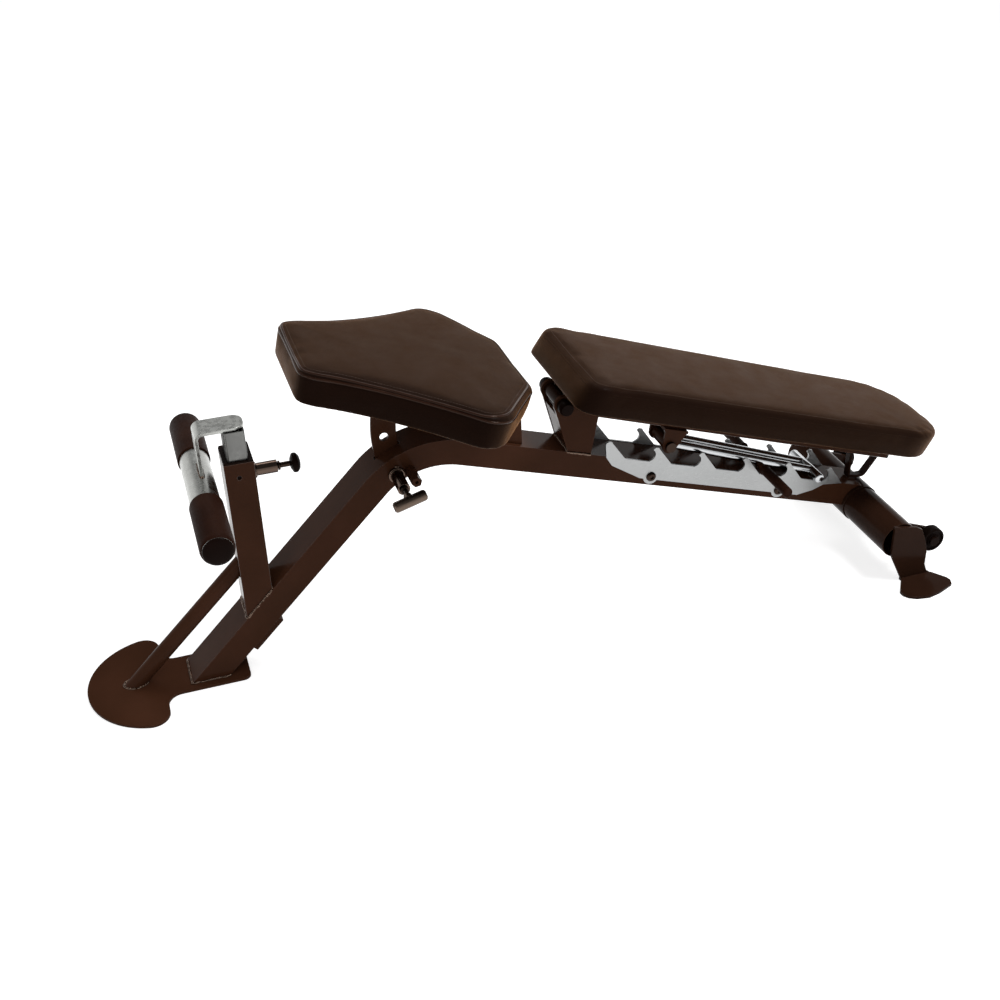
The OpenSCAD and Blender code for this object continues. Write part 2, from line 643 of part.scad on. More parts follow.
module strut_grips() color(rubber) row() rod_line() both() translate([handle_s, ladder_y + ladder_t + 4, -handle_drop])
  rotate([-90, 0, 0]) rotate_extrude() difference() {
    polygon([[0, 0], [11.5, 0], [11.5, 3], [10, 5], [10, grip_l - 3], [8, grip_l], [0, grip_l]]);
    translate([-1, -1]) square([1 + handle_d / 2 + cl, grip_l - 3]);
  }

// Ladder plates, in the spine's frame; heights count from the top of the spine
module ladder_outline() difference() {
  union() {
    polygon(concat(
      [[wall(0) - 4, 24], [wall(0) + 6, -1], [wall(0) + 23, -16], [wall(1) - 11, -36], [wall(5) - 50, -36],
        [wall(5) - 17, -21], [wall(5) + 3, -6], [wall(5) + flank_l + 6, notch_floor]],
      [for (i = [5:-1:1]) each tooth(wall(i))],
      [for (i = [0:3]) tooth(wall(0))[i]],
      [[wall(0) - 4, tooth_h - 4]]));
    for (s = ladder_bolt_s) translate([s, -bolt_drop]) circle(16);
  }
  for (i = [1:5]) translate([wall(i) - 7, notch_floor + 12.9]) circle(12.5);
}
function wall(i) = notch_first + (i - 1) * notch_pitch;
function tooth(w) = [[w + 5 + flank_l, notch_floor], [w + 10, tooth_h - 3], [w + 7, tooth_h], [w + 1, tooth_h],
  [w - 2.4, tooth_h - 4], [w - 2.4, notch_floor]];

module ladder_plate(side) color(chrome) row() spine() translate([0, 0, half_h]) difference() {
  yplate(side > 0 ? ladder_y : -ladder_y - ladder_t, side > 0 ? ladder_y + ladder_t : -ladder_y) ladder_outline();
  for (s = ladder_bolt_s) ycyl(s, -bolt_drop, -60, 60, ladder_bolt_d + 0.4);
}
module ladder_plate_near() ladder_plate(-1);
module ladder_plate_far() ladder_plate(1);

module ladder_bolts() color(chrome) row() spine() for (s = ladder_bolt_s) {
  ycyl(s, half_h - bolt_drop, -ladder_y - ladder_t, ladder_y + ladder_t + 11, ladder_bolt_d);
  translate([s, -ladder_y - ladder_t, half_h - bolt_drop]) rotate([90, 0, 0]) rotate_extrude()
    polygon([[0, 0], [10, 0], [9.5, 2.5], [7, 5], [3.5, 5.6], [3.5, 2.5], [0, 2.5]]);
  translate([s, ladder_y + ladder_t, half_h - bolt_drop]) rotate([-90, 0, 0]) cylinder(d = 18, h = 8, $fn = 6);
}

// Rear foot
module rear_cross_tube() color(black_paint) row() difference() {
  ycyl(cross_x, cross_z, -cross_half, cross_half, cross_d);
  ycyl(cross_x, cross_z, -300, 300, cross_d - 5);
}

module cross_tube_collar() color(black_paint) row() difference() {
  ycyl(cross_x, cross_z, -45, 45, collar_d);
  ycyl(cross_x, cross_z, -60, 60, cross_d + 2 * cl);
}

module rear_foot(side) color(black_paint) row() mirror([0, side > 0 ? 0 : 1, 0]) translate([cross_x + 3, 0, 0]) {
  yplate(cross_half, cross_half + plate_t) polygon([[-22, cross_z + 38], [-20, cross_z - 31], [-10, cross_z - 51],
    [11, 6], [11, 0], [80, 0], [80, 4], [71, 10], [63, 29], [63, cross_z - 39], [56, cross_z - 13],
    [43, cross_z + 19], [28, cross_z + 28]]);
  translate([0, cross_half + plate_t, 0]) linear_extrude(plate_t) polygon([[12, 0], [-14, 37], [-14, 48], [-7, 58], [6, 66],
    [32, rear_half_w - cross_half - plate_t], [60, 65], [97, 50], [102, 38], [100, 28], [80, 0]]);
}
module rear_foot_near() rear_foot(-1);
module rear_foot_far() rear_foot(1);

module wheel_lugs() color(black_paint) row() both() difference() {
  yplate(wheel_y - wheel_w / 2 - 9, wheel_y - wheel_w / 2 - 3) {
    translate([wheel_x, wheel_z]) circle(17);
    polygon([[wheel_x, wheel_z + 17], [cross_x, cross_z + 25], [cross_x, cross_z - 30], [wheel_x, wheel_z - 17]]);
  }
  ycyl(cross_x, cross_z, 0, 300, cross_d + 2 * cl);
  ycyl(wheel_x, wheel_z, 0, 300, axle_d + 2 * cl);
}

module wheel_axles() color(chrome) row() both() {
  ycyl(wheel_x, wheel_z, wheel_y - wheel_w / 2 - 12, wheel_y + wheel_w / 2 + 0.4, axle_d);
  ycyl(wheel_x, wheel_z, wheel_y - wheel_w / 2 - 3, wheel_y - wheel_w / 2 - 0.4, 18);
  ycyl(wheel_x, wheel_z, wheel_y + wheel_w / 2 + 0.4, wheel_y + wheel_w / 2 + 5, 20);
  translate([wheel_x, wheel_y - wheel_w / 2 - 18, wheel_z]) rotate([-90, 0, 0]) cylinder(d = 20, h = 9, $fn = 6);
}

module wheel(side) color(rubber) row() mirror([0, side > 0 ? 0 : 1, 0])
  translate([wheel_x, wheel_y - wheel_w / 2, wheel_z]) rotate([-90, 0, 0]) rotate_extrude($fn = 64)
    polygon([[axle_d / 2 + run_gap, 0], [12, 0], [14, 3], [19, 3], [21, 0], [wheel_d / 2 - 2, 0], [wheel_d / 2, 2.5],
      [wheel_d / 2, wheel_w - 2.5], [wheel_d / 2 - 2, wheel_w], [21, wheel_w], [19, wheel_w - 3], [14, wheel_w - 3],
      [12, wheel_w], [axle_d / 2 + run_gap, wheel_w]]);
module wheel_near() wheel(-1);
module wheel_far() wheel(1);

front_foot_plate();
main_frame_tube();
leg_stiffener_plate();
foot_brace_tube();
hold_down_post();
post_guide_liner();
post_pin_barrel();
post_pin();
post_pin_knob();
hold_down_slider();
roller_arm_strap();
roller_tube();
roller_sleeves();
roller_end_caps();
seat_pad();
seat_board();
seat_arm_tube();
seat_pivot_lugs();
seat_pivot_bolt();
seat_selector_plate();
seat_pin_barrel();
seat_pin_guard();
seat_pin();
seat_pin_handle();
back_pad();
back_board();
back_support_tube();
back_pivot_tube();
back_pivot_caps();
back_uprights();
back_rest_bracket();
back_tube_end_cap();
strut_lugs();
strut_pivot_bolt();
strut_pivot_sleeve();
strut_rods();
strut_crossbar();
strut_handle_bar();
strut_grips();
ladder_plate_near();
ladder_plate_far();
ladder_bolts();
rear_cross_tube();
cross_tube_collar();
rear_foot_near();
rear_foot_far();
wheel_lugs();
wheel_axles();
wheel_near();
wheel_far();
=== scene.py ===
"""Adjustable weight bench: materials, cushions, weld beads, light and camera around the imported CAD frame."""
import json
import math

import bmesh
import bpy
import numpy as np
from mathutils import Matrix, Vector
from mathutils.bvhtree import BVHTree

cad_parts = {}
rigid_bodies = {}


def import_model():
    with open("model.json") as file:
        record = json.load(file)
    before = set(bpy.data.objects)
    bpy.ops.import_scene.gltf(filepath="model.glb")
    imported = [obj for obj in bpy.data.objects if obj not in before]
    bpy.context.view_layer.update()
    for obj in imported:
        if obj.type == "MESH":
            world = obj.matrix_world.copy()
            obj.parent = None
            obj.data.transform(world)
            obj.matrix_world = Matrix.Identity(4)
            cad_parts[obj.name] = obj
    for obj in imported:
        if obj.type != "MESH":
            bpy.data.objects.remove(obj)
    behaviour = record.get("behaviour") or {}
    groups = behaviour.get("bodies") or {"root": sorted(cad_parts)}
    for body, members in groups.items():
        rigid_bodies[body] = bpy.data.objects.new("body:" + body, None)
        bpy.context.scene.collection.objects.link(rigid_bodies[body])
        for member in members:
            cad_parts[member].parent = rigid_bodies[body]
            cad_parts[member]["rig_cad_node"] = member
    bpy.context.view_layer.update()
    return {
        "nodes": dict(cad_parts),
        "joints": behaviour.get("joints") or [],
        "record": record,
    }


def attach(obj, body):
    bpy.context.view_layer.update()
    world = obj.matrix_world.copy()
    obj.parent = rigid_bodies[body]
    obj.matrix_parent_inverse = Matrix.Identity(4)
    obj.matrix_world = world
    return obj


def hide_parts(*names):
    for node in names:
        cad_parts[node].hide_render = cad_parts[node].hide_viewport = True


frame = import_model()
nodes = frame["nodes"]
rng = np.random.default_rng(7)
scene = bpy.context.scene
for o in list(scene.objects):
    if o.type in {"CAMERA", "LIGHT"} or (o.type == "MESH" and "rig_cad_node" not in o):
        bpy.data.objects.remove(o)


# ---------------------------------------------------------------- node helpers
class Mat:
    """A small builder for procedural node materials."""

    def __init__(self, name):
        self.m = bpy.data.materials.new(name)
        self.m.use_nodes = True
        self.t = self.m.node_tree
        self.t.nodes.clear()
        self.out = self.new("ShaderNodeOutputMaterial")
        self.p = self.new("ShaderNodeBsdfPrincipled")
        self.link(self.p, "BSDF", self.out, "Surface")
        self.coord = self.new("ShaderNodeTexCoord")

    def new(self, kind, **values):
        n = self.t.nodes.new(kind)
        for k, v in values.items():
            setattr(n, k, v)
        return n

    def link(self, a, out, b, into):
        self.t.links.new(a.outputs[out], b.inputs[into])

    def noise(self, scale, detail=4.0, rough=0.5, stretch=None):
        n = self.new("ShaderNodeTexNoise")
        n.inputs["Scale"].default_value = scale
        n.inputs["Detail"].default_value = detail
        n.inputs["Roughness"].default_value = rough
        if stretch:
            mp = self.new("ShaderNodeMapping")
            mp.inputs["Scale"].default_value = stretch
            self.link(self.coord, "Object", mp, "Vector")
            self.link(mp, "Vector", n, "Vector")
        else:
            self.link(self.coord, "Object", n, "Vector")
        return n

    def ramp(self, src, out, stops):
        r = self.new("ShaderNodeValToRGB")
        e = r.color_ramp.elements
        while len(e) < len(stops):
            e.new(0.5)
        for el, (pos, col) in zip(e, stops):
            el.position = pos
            el.color = (*col, 1) if len(col) == 3 else col
        self.link(src, out, r, "Fac")
        return r

    def span(self, src, out, lo, hi, a=0.0, b=1.0):
        r = self.new("ShaderNodeMapRange")
        for k, v in zip(("From Min", "From Max", "To Min", "To Max"), (a, b, lo, hi)):
            r.inputs[k].default_value = v
        self.link(src, out, r, "Value")
        return r

    def edges(self, radius, lo=0.03, hi=0.30):
        """1 on convex edges, 0 on flat faces, from the difference of a bevelled normal."""
        bev = self.new("ShaderNodeBevel", samples=6)
        bev.inputs["Radius"].default_value = radius
        geo = self.new("ShaderNodeNewGeometry")
        dot = self.new("ShaderNodeVectorMath", operation="DOT_PRODUCT")
        self.link(bev, "Normal", dot, 0)
        self.link(geo, "Normal", dot, 1)
        return self.span(dot, "Value", 1.0, 0.0, 1 - hi, 1 - lo)

    def bump(self, src, out, strength, distance, after=None):
        b = self.new("ShaderNodeBump")
        b.inputs["Strength"].default_value = strength
        b.inputs["Distance"].default_value = distance
        self.link(src, out, b, "Height")
        if after is not None:
            self.link(after, "Normal", b, "Normal")
        self.link(b, "Normal", self.p, "Normal")
        return b

    def mix(self, fac, fac_out, a, b):
        """Colour mix; a and b are colours or (node, output)."""
        m = self.new("ShaderNodeMix", data_type="RGBA")
        self.t.links.new(fac.outputs[fac_out], m.inputs[0])
        for k, v in ((6, a), (7, b)):
            if isinstance(v[0], (int, float)):
                m.inputs[k].default_value = (*v, 1)
            else:
                self.t.links.new(v[0].outputs[v[1]], m.inputs[k])
        return m

    def set(self, **values):
        for k, v in values.items():
            name = k.replace("_", " ")
            self.p.inputs[name].default_value = v
        return self


def srgb(r, g, b):
    def f(c):
        c /= 255
        return c / 12.92 if c <= 0.04045 else ((c + 0.055) / 1.055) ** 2.4
    return (f(r), f(g), f(b))


def paint(name, low, high, gloss=0.022, coat=0.015):
    """Semi-gloss brown-black paint, with a painted highlight: a lighter colour and a little metal shine along
    sharp edges, broken up by noise.
    """
    m = Mat(name)
    tone = m.noise(9, 3)
    base = m.ramp(tone, "Fac", [(0.3, low), (0.7, high)])
    # painted highlight: the sharp-edge mask, broken up by noise, lightens the colour toward grey-brown and
    # adds metal shine
    highlight_noise = m.noise(60, 8, 0.7)
    edge_highlight = m.edges(0.0020)
    highlight_breakup = m.ramp(highlight_noise, "Fac", [(0.50, (0, 0, 0)), (0.66, (1, 1, 1))])
    both = m.new("ShaderNodeMath", operation="MULTIPLY")
    m.link(edge_highlight, "Result", both, 0)
    m.link(highlight_breakup, "Color", both, 1)
    half = m.new("ShaderNodeMath", operation="MULTIPLY")
    half.inputs[1].default_value = 0.4
    m.link(both, "Value", half, 0)
    col = m.mix(half, "Value", (base, "Color"), srgb(126, 108, 96))
    m.t.links.new(col.outputs[2], m.p.inputs["Base Color"])
    glint = m.new("ShaderNodeMath", operation="MULTIPLY")
    glint.inputs[1].default_value = 0.3
    m.link(edge_highlight, "Result", glint, 0)
    m.link(glint, "Value", m.p, "Metallic")
    smudge = m.noise(14, 6, 0.6)
    r = m.span(smudge, "Fac", 0.14, 0.24, 0.35, 0.7)
    m.link(r, "Result", m.p, "Roughness")
    peel = m.noise(420, 2)
    m.bump(peel, "Fac", 0.10, 0.0006)
    return m.set(Coat_Weight=coat, Coat_Roughness=0.08, Specular_IOR_Level=gloss).m


def chrome(name, tint, rough, stretch):
    """Metal with a fine grain, from bright chrome to dark steel by its tint."""
    m = Mat(name)
    brush = m.noise(90, 5, 0.6, stretch)
    col = m.ramp(m.noise(6, 3), "Fac", [(0.3, tuple(c * 0.9 for c in tint)), (0.7, tint)])
    m.link(col, "Color", m.p, "Base Color")
    r = m.span(brush, "Fac", rough * 0.7, rough * 1.5, 0.3, 0.7)
    m.link(r, "Result", m.p, "Roughness")
    m.bump(brush, "Fac", 0.05, 0.0003)
    return m.set(Metallic=1.0).m


def rubber(name, a, b, rough, scale, depth):
    """Rubber or moulded plastic with a grain."""
    m = Mat(name)
    col = m.ramp(m.noise(18, 5), "Fac", [(0.35, a), (0.7, b)])
    # the colour is mixed a little lighter along convex edges
    lighter_edges = m.edges(0.002)
    part = m.new("ShaderNodeMath", operation="MULTIPLY")
    part.inputs[1].default_value = 0.15
    m.link(lighter_edges, "Result", part, 0)
    c = m.mix(part, "Value", (col, "Color"), tuple(min(1, 2.4 * v + 0.01) for v in b))
    m.t.links.new(c.outputs[2], m.p.inputs["Base Color"])
    grain = m.noise(scale, 6, 0.6)
    r = m.span(grain, "Fac", rough - 0.1, rough + 0.12, 0.3, 0.7)
    m.link(r, "Result", m.p, "Roughness")
    m.bump(grain, "Fac", 0.35, depth)
    return m.set(Specular_IOR_Level=0.025).m


def vinyl():
    m = Mat("upholstery_vinyl")
    tone = m.noise(5, 4)
    base = m.ramp(tone, "Fac", [(0.3, srgb(21, 10, 6)), (0.7, srgb(28, 15, 10))])
    cell = m.new("ShaderNodeTexVoronoi", feature="DISTANCE_TO_EDGE")
    cell.inputs["Scale"].default_value = 620
    warp = m.noise(160, 3)
    add = m.new("ShaderNodeMixRGB", blend_type="ADD")
    add.inputs["Fac"].default_value = 0.006
    m.link(m.coord, "Object", add, "Color1")
    m.link(warp, "Color", add, "Color2")
    m.link(add, "Color", cell, "Vector")
    crease = m.ramp(cell, "Distance", [(0.0, (0, 0, 0)), (0.10, (1, 1, 1))])
    dark = m.mix(crease, "Color", srgb(24, 13, 9), (base, "Color"))
    m.t.links.new(dark.outputs[2], m.p.inputs["Base Color"])
    sheen = m.noise(22, 4, 0.6)
    r = m.span(sheen, "Fac", 0.38, 0.52, 0.3, 0.7)
    m.link(r, "Result", m.p, "Roughness")
    g = m.bump(crease, "Color", 0.22, 0.0004)
    soft = m.noise(38, 3)
    m.bump(soft, "Fac", 0.10, 0.0012, after=g)
    geo = m.new("ShaderNodeNewGeometry")
    tight = m.span(geo, "Pointiness", 0.0, 0.7, 0.515, 0.58)
    axes = m.new("ShaderNodeSeparateXYZ")
    m.link(geo, "Normal", axes, "Vector")
    upper = m.span(axes, "Z", 0.0, 1.0, 0.0, 0.3)
    shine = m.new("ShaderNodeMath", operation="MULTIPLY")
    m.link(tight, "Result", shine, 0)
    m.link(upper, "Result", shine, 1)
    m.link(shine, "Value", m.p, "Coat Weight")
    return m.set(Specular_IOR_Level=0.02, Sheen_Weight=0.33, Sheen_Roughness=0.4,
                 Sheen_Tint=(*srgb(255, 184, 124), 1), Coat_Roughness=0.22).m


def piping():
    """Vinyl drawn tight over a cord, in a colour lighter than the pad's vinyl as a painted highlight along the
    seam, with a clear shine along it.
    """
    m = Mat("vinyl_piping")
    col = m.ramp(m.noise(30, 3), "Fac", [(0.3, srgb(38, 20, 13)), (0.7, srgb(48, 27, 18))])
    m.link(col, "Color", m.p, "Base Color")
    m.bump(m.noise(240, 3), "Fac", 0.12, 0.0003)
    return m.set(Roughness=0.26, Specular_IOR_Level=0.12, Coat_Weight=0.16, Coat_Roughness=0.14,
                 Specular_Tint=(*srgb(255, 214, 176), 1), Coat_Tint=(*srgb(255, 226, 200), 1)).m


def thread():
    m = Mat("stitch_thread")
    twist = m.new("ShaderNodeTexWave", wave_type="BANDS")
    twist.inputs["Scale"].default_value = 900
    m.link(m.coord, "Object", twist, "Vector")
    col = m.ramp(twist, "Fac", [(0.0, srgb(60, 44, 36)), (1.0, srgb(104, 82, 68))])
    m.link(col, "Color", m.p, "Base Color")
    m.bump(twist, "Fac", 0.4, 0.0003)
    return m.set(Roughness=0.6).m


def board():
    m = Mat("plywood_board")
    rings = m.new("ShaderNodeTexWave", wave_type="BANDS")
    rings.inputs["Scale"].default_value = 28
    rings.inputs["Distortion"].default_value = 5
    m.link(m.coord, "Object", rings, "Vector")
    col = m.ramp(rings, "Fac", [(0.0, srgb(40, 30, 24)), (1.0, srgb(58, 44, 35))])
    m.link(col, "Color", m.p, "Base Color")
    m.bump(rings, "Fac", 0.2, 0.0004)
    return m.set(Roughness=0.7).m


MATS = {
    "frame": paint("frame_paint", srgb(66, 40, 26), srgb(75, 46, 32)),
    # a darker copy of the frame paint: painted shade on the rear parts of the frame
    "rear": paint("rear_frame_painted_shade", srgb(42, 25, 17), srgb(51, 32, 23)),
    "edge": paint("frame_paint_edge", srgb(66, 40, 26), srgb(75, 46, 32), 0.6, 0.35),
    "chrome": chrome("polished_chrome", srgb(188, 190, 192), 0.10, (1, 1, 1)),
    "plate": chrome("brushed_plate", srgb(163, 164, 164), 0.34, (1, 12, 12)),
    "satin": chrome("satin_chrome", srgb(178, 179, 175), 0.26, (1, 1, 1)),
    "slide": chrome("drawn_steel", srgb(112, 112, 110), 0.3, (1, 1, 1)),
    "weld": chrome("weld_bead", srgb(104, 86, 75), 0.16, (1, 1, 1)),
    "dark": chrome("black_steel", srgb(52, 41, 35), 0.18, (1, 1, 1)),
    "barrel": chrome("blued_steel", srgb(92, 77, 68), 0.14, (1, 1, 1)),
    "tyre": rubber("wheel_rubber", srgb(14, 7, 5), srgb(22, 12, 9), 0.45, 300, 0.0003),
    "handle": chrome("handle_steel", srgb(100, 86, 76), 0.3, (1, 1, 1)),
    "fastener": chrome("zinc_fastener", srgb(120, 118, 116), 0.28, (1, 1, 1)),
    "rubber": rubber("sleeve_rubber", srgb(38, 20, 13), srgb(48, 27, 18), 0.5, 240, 0.0004),
    "plastic": rubber("moulded_plastic", srgb(22, 12, 9), srgb(32, 19, 14), 0.30, 500, 0.0002),
    "vinyl": vinyl(),
    "piping": piping(),
    "board": board(),
    "thread": thread(),
}
SLOT_OF = {s["node"]: s["material_slot"] for s in frame["record"]["subparts"]}
# nodes whose material isn't the one of their slot
LOOK = {
    "rear_cross_tube": "rear", "cross_tube_collar": "rear", "rear_foot_near": "rear",
    "rear_foot_far": "rear", "wheel_lugs": "rear", "back_rest_bracket": "rear",
    "ladder_plate_near": "plate", "ladder_plate_far": "plate", "roller_arm_strap": "satin",
    "hold_down_slider": "slide", "roller_tube": "satin", "post_pin": "dark", "seat_pin": "dark",
    "ladder_bolts": "dark", "wheel_axles": "plastic", "seat_pivot_bolt": "dark",
    "strut_pivot_bolt": "dark", "back_pivot_tube": "rear",
    "post_pin_barrel": "barrel", "seat_pin_barrel": "barrel", "wheel_near": "tyre",
    "wheel_far": "tyre", "seat_pin_handle": "handle",
}
# edge rounding in metres, by slot and, for the drawn tubes, by node
EDGE = {"frame": 0.0012, "chrome": 0.0008, "rubber": 0.0012, "plastic": 0.0006, "fastener": 0.0005}
ROUND = {"main_frame_tube": 0.004, "hold_down_post": 0.004, "back_support_tube": 0.004,
         "seat_arm_tube": 0.004, "hold_down_slider": 0.003}

for name, o in nodes.items():
    o.data.materials.clear()
    o.data.materials.append(MATS[LOOK.get(name, SLOT_OF[name])])
    w = o.modifiers.new("join", "WELD")
    w.merge_threshold = 1e-6
    flat = o.modifiers.new("flat", "DECIMATE")
    flat.decimate_type = "DISSOLVE"
    flat.angle_limit = math.radians(0.6)
    bev = o.modifiers.new("edge", "BEVEL")
    bev.width = ROUND.get(name, EDGE.get(SLOT_OF[name], 0.0006))
    bev.segments = 4 if name in ROUND else 2
    bev.limit_method = "ANGLE"
    bev.angle_limit = math.radians(32)
    bev.use_clamp_overlap = True
    bev.harden_normals = True
    if name in ROUND and SLOT_OF[name] == "frame":
        o.data.materials.append(MATS["edge"])
        bev.material = 1
    for p in o.data.polygons:
        p.use_smooth = True
    if o.data.has_custom_normals:
        bpy.context.view_layer.objects.active = o
        bpy.ops.mesh.customdata_custom_splitnormals_clear()


# ---------------------------------------------------------------- pads
def local_frame(pivot, slope):
    a = math.radians(slope)
    m = Matrix(((math.cos(a), 0, math.sin(a), pivot[0]), (0, 1, 0, 0),
                (-math.sin(a), 0, math.cos(a), pivot[1]), (0, 0, 0, 1)))
    return m


def joint_at(name):
    j = next(j for j in frame["joints"] if j["name"] == name)
    return j["pos_m"][0], j["pos_m"][2]


def outline_of(node, local):
    """The outline of a flat CAD pad in its own frame, and its lower and upper face."""
    inv = local.inverted()
    co = np.array([inv @ v.co for v in nodes[node].data.vertices])
    lo, hi = co[:, 2].min(), co[:, 2].max()
    top = np.unique(np.round(co[co[:, 2] > hi - 1e-4][:, :2], 5), axis=0)
    mid = (top.min(0) + top.max(0)) / 2
    order = np.argsort(np.arctan2(top[:, 1] - mid[1], top[:, 0] - mid[0]))
    return top[order], lo, hi


def resample(pts, step, rounds):
    """Even points along a closed outline, smoothed over a few of them."""
    p = np.vstack([pts, pts[:1]])
    d = np.concatenate([[0], np.cumsum(np.linalg.norm(np.diff(p, axis=0), axis=1))])
    n = int(d[-1] / step)
    t = np.linspace(0, d[-1], n, endpoint=False)
    q = np.column_stack([np.interp(t, d, p[:, k]) for k in (0, 1)])
    for _ in range(rounds):
        q = 0.25 * np.roll(q, 1, 0) + 0.5 * q + 0.25 * np.roll(q, -1, 0)
    return q


def inset(q, d, roll=0.0):
    """The outline moved inward by d, and by more at its front end."""
    t = np.roll(q, -2, 0) - np.roll(q, 2, 0)
    n = np.column_stack([-t[:, 1], t[:, 0]])
    n /= np.linalg.norm(n, axis=1)[:, None]
    front = np.clip(1 - (q[:, 0] - q[:, 0].min()) / 0.03, 0, 1)
    return q + n * (d * (1 + roll * front))[:, None]


def pad_mesh(name, q, lo, hi, profile, roll=0.0):
    """Closed pad from rings: profile is a list of (inset, height share)."""
    rings = [np.column_stack([inset(q, d, roll if h > 0.7 else 0.0), np.full(len(q), lo + (hi - lo) * h)])
             for d, h in profile]
    co = np.vstack(rings)
    n = len(q)
    faces = []
    for r in range(len(rings) - 1):
        for i in range(n):
            j = (i + 1) % n
            faces.append((r * n + i, r * n + j, (r + 1) * n + j, (r + 1) * n + i))
    faces.append(tuple(range(n - 1, -1, -1)))
    faces.append(tuple((len(rings) - 1) * n + i for i in range(n)))
    me = bpy.data.meshes.new(name)
    me.from_pydata([tuple(c) for c in co], [], faces)
    me.validate()
    o = bpy.data.objects.new(name, me)
    scene.collection.objects.link(o)
    return o


def apply_all(o):
    """Turn the object's modifiers into its mesh."""
    dg = bpy.context.evaluated_depsgraph_get()
    me = bpy.data.meshes.new_from_object(o.evaluated_get(dg))
    o.modifiers.clear()
    o.data = me


def edge_distance(xy, q):
    out = np.empty(len(xy))
    for i in range(0, len(xy), 2000):
        c = xy[i:i + 2000]
        out[i:i + 2000] = np.sqrt(((c[:, None, :] - q[None, :, :]) ** 2).sum(2)).min(1)
    return out


def fit(o, want):
    """Stretch a pad along its length and width to the reach that its outline gives."""
    co = np.empty(len(o.data.vertices) * 3)
    o.data.vertices.foreach_get("co", co)
    co = co.reshape(-1, 3)
    for k in (0, 1):
        a, b = co[:, k].min(), co[:, k].max()
        co[:, k] = want[0][k] + (co[:, k] - a) * (want[1][k] - want[0][k]) / (b - a)
    o.data.vertices.foreach_set("co", co.ravel())
    o.data.update()


def lean(o, lo, hi, slant):
    """Move the low front, high front, low rear and high rear of a pad along its length."""
    co = np.empty(len(o.data.vertices) * 3)
    o.data.vertices.foreach_get("co", co)
    co = co.reshape(-1, 3)
    u = (co[:, 0] - co[:, 0].min()) / np.ptp(co[:, 0])
    w = np.clip((co[:, 2] - lo) / (hi - lo), 0, 1)
    low_front, high_front, low_rear, high_rear = slant
    co[:, 0] += (1 - u) * ((1 - w) * low_front + w * high_front)
    co[:, 0] += u * ((1 - w) * low_rear + w * high_rear)
    o.data.vertices.foreach_set("co", co.ravel())
    o.data.update()


def soften(o, q, lo, hi, crown, cap, pressure, grow, slant):
    """Voxel remesh, inflate as cloth over a held base, cap the movement, crown and subdivide."""
    rm = o.modifiers.new("remesh", "REMESH")
    rm.mode = "VOXEL"
    rm.voxel_size = 0.0042
    apply_all(o)
    me = o.data
    rest = np.empty(len(me.vertices) * 3)
    me.vertices.foreach_get("co", rest)
    rest = rest.reshape(-1, 3)
    held = o.vertex_groups.new(name="held")
    low = np.clip((lo + 0.012 - rest[:, 2]) / 0.008, 0, 1)
    for i in np.nonzero(low > 0)[0]:
        held.add([int(i)], float(low[i]), "REPLACE")
    cl = o.modifiers.new("cloth", "CLOTH")
    s = cl.settings
    s.quality = 4
    s.mass = 0.3
    s.use_pressure = True
    s.uniform_pressure_force = pressure
    s.tension_stiffness = s.compression_stiffness = 40
    s.shear_stiffness = 20
    s.bending_stiffness = 12
    s.vertex_group_mass = "held"
    s.effector_weights.gravity = 0
    cl.collision_settings.use_collision = False
    cl.collision_settings.use_self_collision = False
    cl.point_cache.frame_start, cl.point_cache.frame_end = 1, 20
    for f in range(1, 21):
        scene.frame_set(f)
    dg = bpy.context.evaluated_depsgraph_get()
    ev = o.evaluated_get(dg).data
    got = np.empty(len(ev.vertices) * 3)
    ev.vertices.foreach_get("co", got)
    move = got.reshape(-1, 3) - rest
    size = np.linalg.norm(move, axis=1)
    move *= np.minimum(1, cap / np.maximum(size, 1e-9))[:, None]
    ends = np.array([e.vertices[:] for e in me.edges])
    for _ in range(4):
        total, count = move.copy(), np.ones(len(move))
        for a, b in ((0, 1), (1, 0)):
            np.add.at(total, ends[:, a], move[ends[:, b]])
            np.add.at(count, ends[:, a], 1)
        move = total / count[:, None]
    o.modifiers.clear()
    rest = rest + move
    scene.frame_set(1)
    d = edge_distance(rest[:, :2], q)
    top = np.clip((rest[:, 2] - (lo + hi) / 2) / ((hi - lo) / 2), 0, 1)
    rest[:, 2] += crown * (1 - np.exp(-d / 0.045)) * top
    o.data.vertices.foreach_set("co", rest.ravel())
    o.vertex_groups.clear()
    sm = o.modifiers.new("smooth", "SMOOTH")
    sm.iterations = 1
    sm.factor = 0.5
    ss = o.modifiers.new("sub", "SUBSURF")
    ss.levels = ss.render_levels = 1
    apply_all(o)
    grow = np.array(grow)
    fit(o, (q.min(0) - grow, q.max(0) + grow))
    lean(o, lo, hi, slant)
    for p in o.data.polygons:
        p.use_smooth = True


